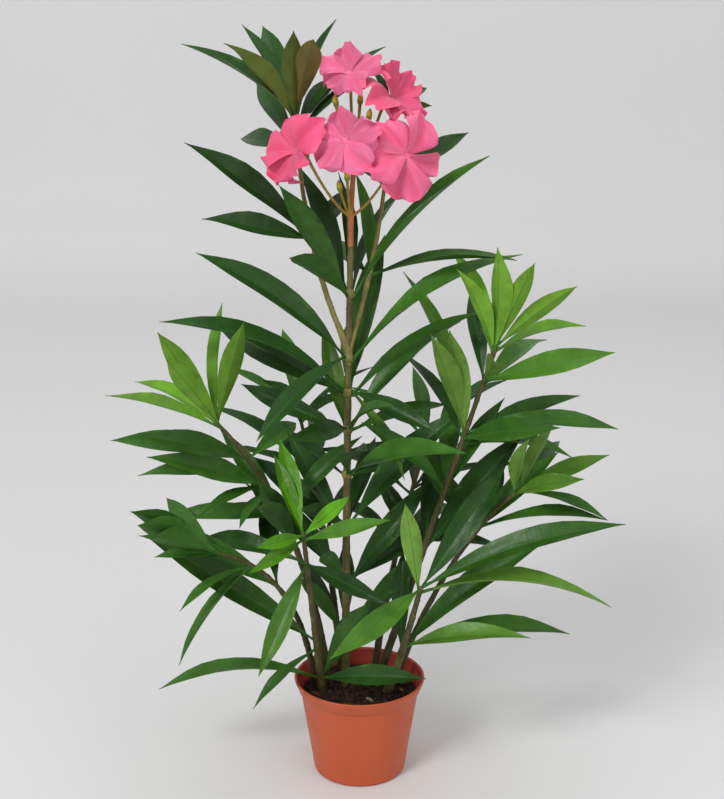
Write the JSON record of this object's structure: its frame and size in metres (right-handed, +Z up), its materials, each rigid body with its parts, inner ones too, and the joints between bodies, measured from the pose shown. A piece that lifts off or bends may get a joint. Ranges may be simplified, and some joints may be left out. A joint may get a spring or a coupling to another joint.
{
  "type": "potted oleander",
  "caption": "Artificial oleander with long dark leaves, bright young shoots and a pink flower head, in a terracotta-coloured nursery pot.",
  "frame": {"origin": "middle of the pot's flat underside", "axes": "+Z up the trunk; the side shown in front looks along -Y"},
  "size_m": [0.4893, 0.3735, 0.7334],
  "materials": {
    "pot_plastic": "satin",
    "potting_mix": "matte",
    "stem_bark": "matte",
    "leaf_dark": "satin",
    "leaf_green": "satin",
    "leaf_light": "satin",
    "flower_pink": "matte"
  },
  "bodies": {
    "root": {"pot": "pot_plastic", "soil": "potting_mix", "trunk": "stem_bark", "stem_left": "stem_bark", "stem_front_left": "stem_bark", "stem_low_left": "stem_bark", "stem_right": "stem_bark", "stem_mid_right": "stem_bark", "stem_front_right": "stem_bark", "stem_back_left": "stem_bark", "stem_back_right": "stem_bark", "bough_top_left": "stem_bark", "bough_top_right": "stem_bark", "flower_head": "flower_pink", "leaves_top_left": "leaf_dark", "leaves_top_right": "leaf_dark", "leaves_left": "leaf_light", "leaves_low_left": "leaf_green", "leaves_front_left": "leaf_green", "leaves_right": "leaf_light", "leaves_mid_right": "leaf_green", "leaves_front_right": "leaf_green", "leaves_back_left": "leaf_dark", "leaves_back_right": "leaf_dark", "leaves_trunk_1": "leaf_dark", "leaves_trunk_2": "leaf_dark", "leaves_trunk_3": "leaf_dark", "leaves_trunk_4": "leaf_dark", "leaves_trunk_5": "leaf_dark", "leaves_trunk_6": "leaf_dark", "leaves_trunk_7": "leaf_dark", "leaves_trunk_8": "leaf_dark"}
  },
  "joints": []
}
